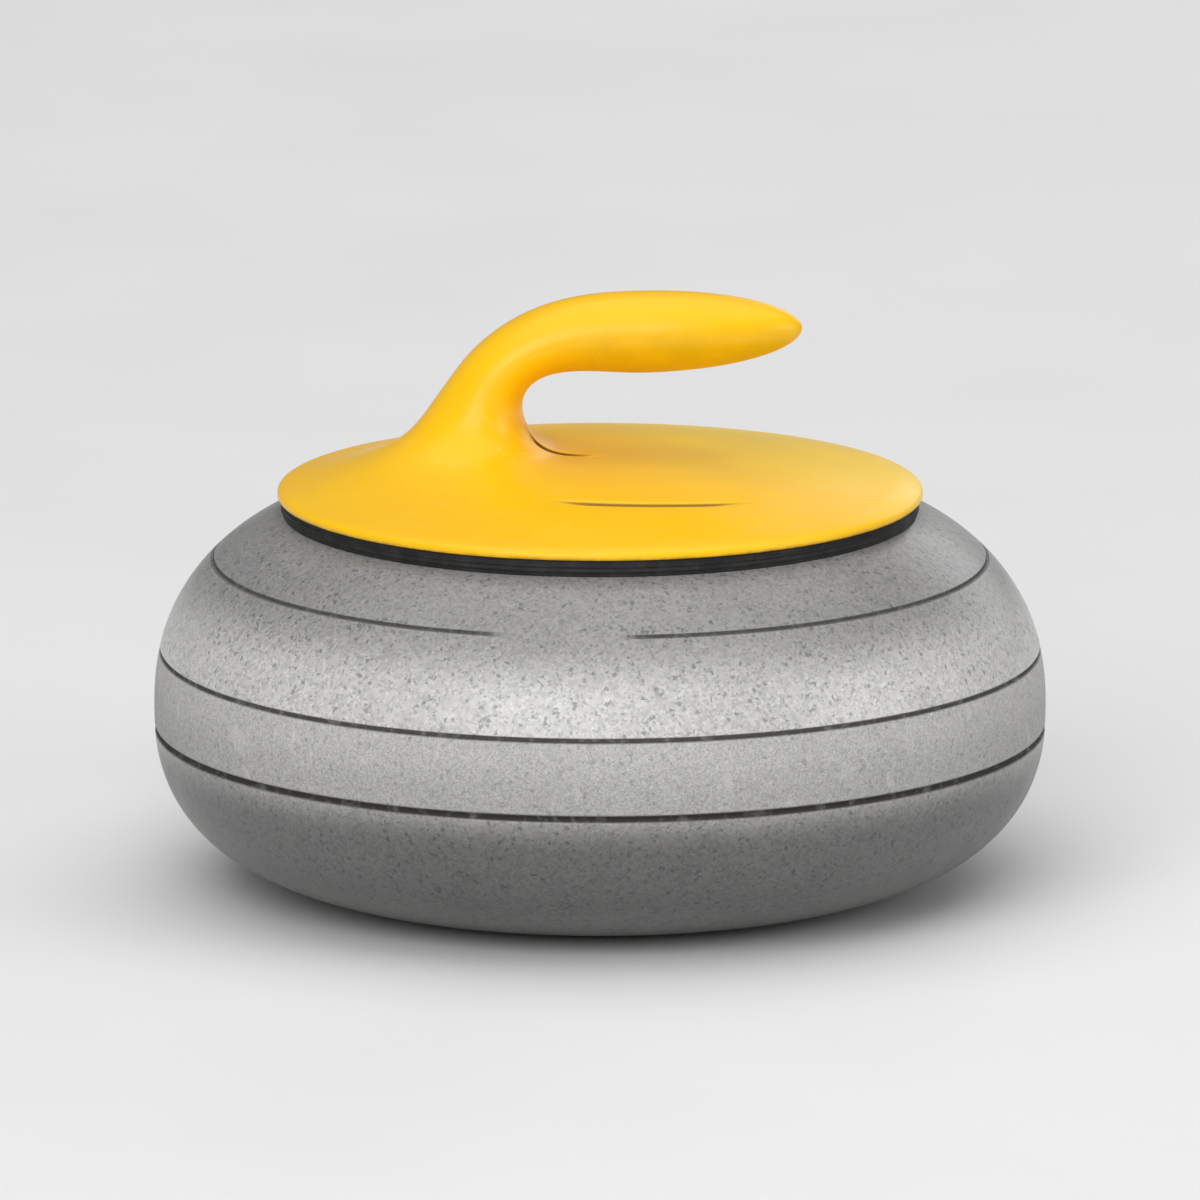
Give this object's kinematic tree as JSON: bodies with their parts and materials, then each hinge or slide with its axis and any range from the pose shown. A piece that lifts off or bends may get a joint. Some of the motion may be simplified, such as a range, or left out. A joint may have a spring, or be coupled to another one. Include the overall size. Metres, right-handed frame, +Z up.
{
  "type": "curling stone",
  "caption": "Round polished granite stone with a bonded running insert, turned striking lines and a bolted gooseneck handle on a domed cover.",
  "frame": {"origin": "centre of the running band, on the plane it stands on", "axes": "+Z up along the bolt, +X from the handle's neck towards the end of the grip"},
  "size_m": [0.2876, 0.2876, 0.1935],
  "materials": {
    "granite": "polished light grey granite, pecked striking band",
    "insert_granite": "fine-grained dark blue-grey granite, honed",
    "epoxy": "cured stone epoxy",
    "handle_plastic": "glossy yellow moulding",
    "rubber": "black, matte",
    "steel": "zinc-plated steel",
    "aluminium": "turned",
    "brass": "turned",
    "nylon": "natural nylon"
  },
  "bodies": {
    "root": {"stone_body": "granite", "running_insert": "insert_granite", "insert_bond": "epoxy", "clamp_bolt": "steel", "lock_washer": "steel", "bolt_washer": "steel", "seat_washer": "rubber", "bolt_sleeve": "nylon", "seat_pad": "rubber", "hub_spacer": "aluminium", "core_plate": "steel", "core_rod": "steel", "threaded_bush": "brass", "plate_screw_1": "steel", "plate_screw_2": "steel", "plate_screw_3": "steel", "plate_screw_4": "steel", "handle_cover": "handle_plastic", "rim_gasket": "rubber"}
  },
  "joints": []
}
